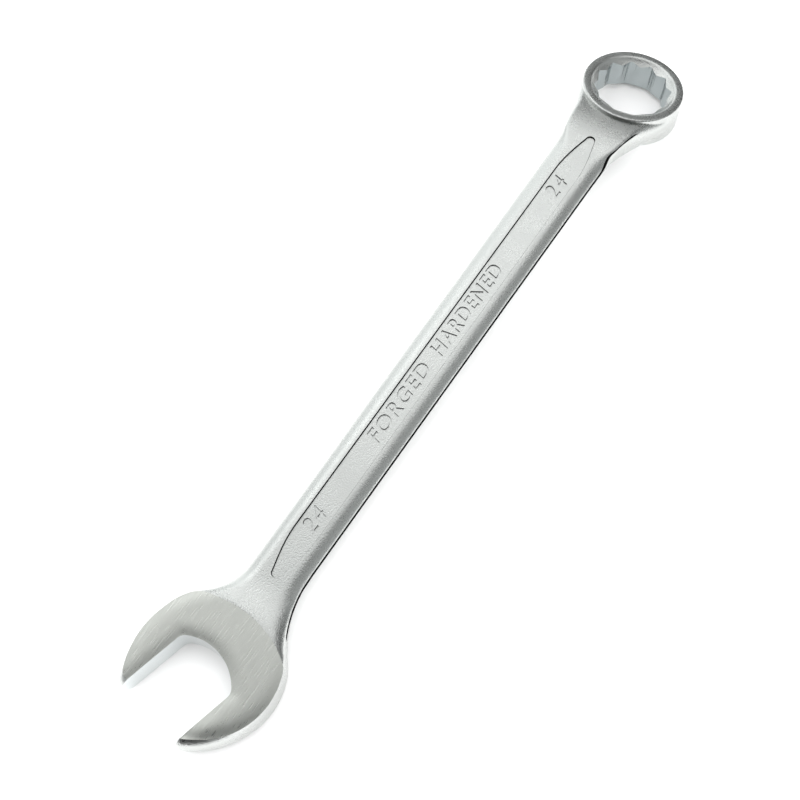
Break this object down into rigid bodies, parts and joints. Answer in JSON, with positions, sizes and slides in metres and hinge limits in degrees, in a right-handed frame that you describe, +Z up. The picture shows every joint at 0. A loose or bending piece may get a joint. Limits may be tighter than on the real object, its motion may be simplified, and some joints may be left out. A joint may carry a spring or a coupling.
{
  "type": "combination wrench",
  "caption": "Forged combination wrench: an angled open jaw at one end, a tilted multi-point ring at the other, and a recessed panel along each face of the shank.",
  "frame": {"origin": "bottom centre of the bounding box, on the surface that the wrench lies on", "axes": "+X along the shank, from the open end to the ring; +Z up, with the wrench lying at rest on its two jaw tips and the ring's far lower rim"},
  "size_m": [0.2886, 0.046, 0.0192],
  "materials": {
    "satin_chrome": "satin"
  },
  "bodies": {
    "root": {"combination_wrench": "satin_chrome"}
  },
  "joints": []
}
